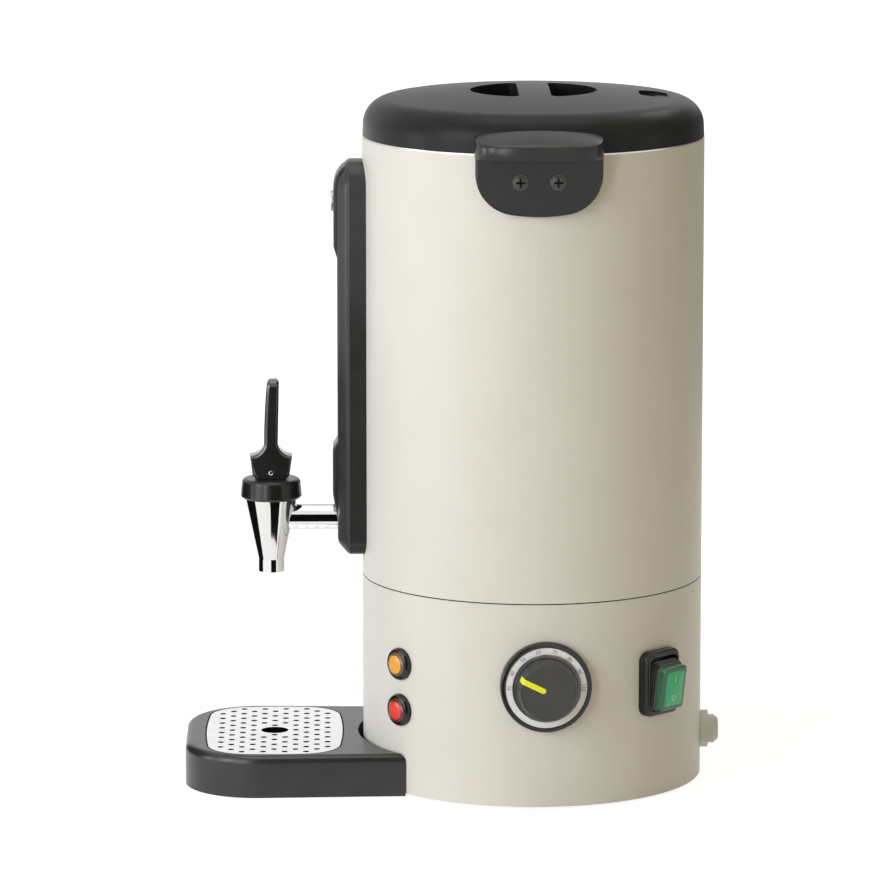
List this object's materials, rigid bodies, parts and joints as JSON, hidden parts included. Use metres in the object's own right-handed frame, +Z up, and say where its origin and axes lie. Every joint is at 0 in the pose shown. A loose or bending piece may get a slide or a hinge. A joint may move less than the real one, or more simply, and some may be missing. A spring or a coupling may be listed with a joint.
{
  "type": "hot water urn",
  "caption": "Double-walled hot water urn with a lift-off lid, lever tap, water gauge, thermostat dial, rocker switch and a sliding drip tray.",
  "frame": {"origin": "centre of the bounding box's bottom face, on the surface that the feet stand on", "axes": "+Z up, tap and drip tray towards -Y, handles at +X and -X, control panel on the +X side"},
  "size_m": [0.272, 0.3564, 0.4606],
  "materials": {
    "jacket_paint": "satin powder coat, warm light grey",
    "base_paint": "satin powder coat, warm light grey",
    "tank_steel": "brushed stainless steel",
    "zinc_steel": "zinc-plated steel",
    "rubber_black": "black moulded rubber",
    "seal_silicone": "translucent white silicone rubber",
    "black_plastic": "black heat-resistant plastic, fine satin grain",
    "dark_plastic": "dark grey heat-resistant plastic, fine satin grain",
    "gloss_black": "glossy black plastic",
    "screw_steel": "bright nickel-plated steel",
    "aluminium": "die-cast aluminium",
    "heater_steel": "heat-stained steel sheath",
    "copper": "drawn copper",
    "white_plastic": "white moulded plastic",
    "yellow_plastic": "yellow pointer insert",
    "amber_lens": "translucent amber plastic",
    "red_lens": "translucent red plastic",
    "green_rocker": "translucent green plastic",
    "glass": "clear borosilicate glass",
    "chrome": "polished chrome plate on brass",
    "brass": "turned brass",
    "spring_steel": "stainless spring wire",
    "grille_steel": "bright stainless sheet"
  },
  "bodies": {
    "urn": {"outer_jacket": "jacket_paint", "inner_tank": "tank_steel", "support_ring": "zinc_steel", "base_housing": "base_paint", "base_plate": "zinc_steel", "rubber_feet": "rubber_black", "tie_rods": "zinc_steel", "base_screws": "zinc_steel", "right_handle": "black_plastic", "left_handle": "black_plastic", "handle_screws": "screw_steel", "rivet_nuts": "zinc_steel", "heat_spreader": "aluminium", "heating_element": "heater_steel", "element_clamp": "zinc_steel", "clamp_nuts": "zinc_steel", "boil_dry_cutout": "gloss_black", "thermostat_body": "zinc_steel", "thermostat_nut": "brass", "thermostat_bulb": "copper", "dial_bezel": "gloss_black", "dial_scale_ring": "white_plastic", "amber_lamp_bezel": "gloss_black", "amber_lamp_lens": "amber_lens", "red_lamp_bezel": "gloss_black", "red_lamp_lens": "red_lens", "lamp_clips": "spring_steel", "switch_frame": "gloss_black", "switch_body": "gloss_black", "cable_gland": "black_plastic", "gland_nut": "black_plastic", "terminal_block": "white_plastic", "overheat_cutout": "gloss_black", "gauge_housing": "dark_plastic", "gauge_top_screw": "screw_steel", "sight_glass": "glass", "sight_glass_seals": "seal_silicone", "gauge_top_cap": "white_plastic", "gauge_tee": "brass", "tap_body": "chrome", "shank_gaskets": "seal_silicone", "shank_nut": "brass", "tap_bonnet": "black_plastic"},
    "lid": {"lid_cover": "black_plastic", "lid_liner": "tank_steel", "lid_seal": "seal_silicone", "lid_screws": "screw_steel"},
    "knob": {"thermostat_knob": "black_plastic", "knob_pointer": "yellow_plastic", "thermostat_shaft": "zinc_steel"},
    "rocker": {"switch_rocker": "green_rocker", "switch_boot": "rubber_black"},
    "reset": {"reset_button": "red_lens"},
    "stem": {"valve_stem": "brass", "valve_plug": "seal_silicone", "valve_spring": "spring_steel", "lever_pin": "chrome"},
    "lever": {"tap_lever": "black_plastic"},
    "tray": {"drip_tray": "dark_plastic"},
    "grille": {"drip_grille": "grille_steel"}
  },
  "joints": [
    {"name": "lid_lift", "type": "slide", "parent": "urn", "child": "lid", "axis": [0, 0, 1], "range_m": [0, 0.15]},
    {"name": "knob_turn", "type": "hinge", "parent": "urn", "child": "knob", "pos_m": [0.12486, 0.05914, 0.082], "axis": [0.9989, 0.0471, 0], "range_deg": [-155, 115]},
    {"name": "rocker_tip", "type": "hinge", "parent": "urn", "child": "rocker", "pos_m": [0.07805, 0.13076, 0.078], "axis": [0.7046, -0.7096, 0], "range_deg": [0, 16]},
    {"name": "reset_press", "type": "slide", "parent": "urn", "child": "reset", "axis": [0, 0, 1], "range_m": [0, 0.0015], "stiffness_N_per_m": 800, "springref_m": -0.001},
    {"name": "valve_lift", "type": "slide", "parent": "urn", "child": "stem", "axis": [0, 0, 1], "range_m": [0, 0.0053], "deforming": ["valve_spring"]},
    {"name": "lever_tilt", "type": "hinge", "parent": "stem", "child": "lever", "pos_m": [0, -0.12075, 0.2045], "axis": [1, 0, 0], "range_deg": [0, 35], "stiffness_Nm_per_rad": 0.2, "springref_deg": -17.19},
    {"name": "tray_slide", "type": "slide", "parent": "urn", "child": "tray", "axis": [0, -1, 0], "range_m": [0, 0.12]},
    {"name": "grille_lift", "type": "slide", "parent": "tray", "child": "grille", "axis": [0, 0, 1], "range_m": [0, 0.08]}
  ],
  "couplings": [
    {"joint": "valve_lift", "follows": "lever_tilt", "m_per_rad": 0.0085}
  ]
}
